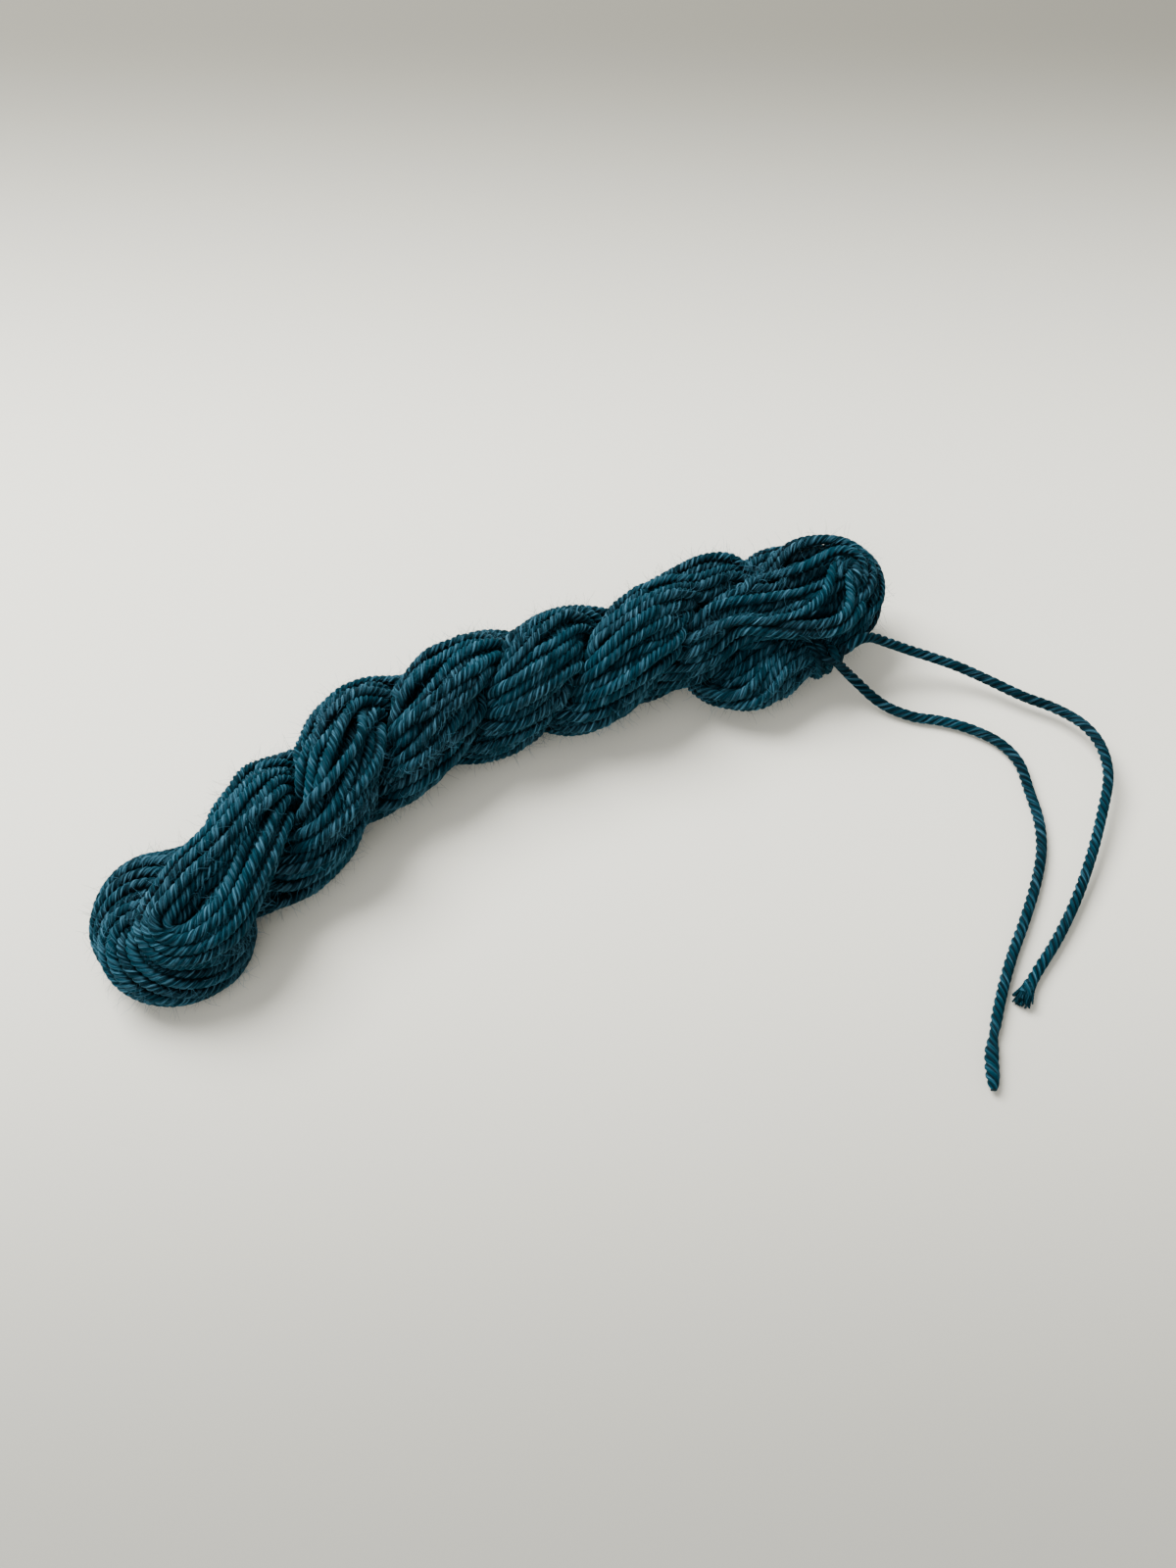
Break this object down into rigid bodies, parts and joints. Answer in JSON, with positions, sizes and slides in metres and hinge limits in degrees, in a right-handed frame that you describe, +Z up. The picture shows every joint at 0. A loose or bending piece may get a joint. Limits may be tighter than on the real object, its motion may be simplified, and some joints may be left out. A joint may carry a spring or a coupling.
{
  "type": "skein of wool embroidery yarn",
  "caption": "Small twisted skein of plied wool yarn, folded in half and tucked into itself, with a knotted tie whose two free ends lie loose on the table.",
  "frame": {"origin": "On the table, under the middle of the skein's own box, leaving out the tie's two free ends", "axes": "+X along the skein from its button end to its folded end, +Y away from the front, across the skein, +Z up from the table"},
  "size_m": [0.1505, 0.0981, 0.0192],
  "materials": {
    "skein_wool": "matt plied wool yarn, heathered deep teal, faintly fuzzy",
    "tie_wool": "matt plied wool yarn, heathered deep teal, faintly fuzzy"
  },
  "bodies": {
    "root": {"skein": "skein_wool", "tie_band": "tie_wool", "tie_end_far": "tie_wool", "tie_end_near": "tie_wool"}
  },
  "joints": []
}
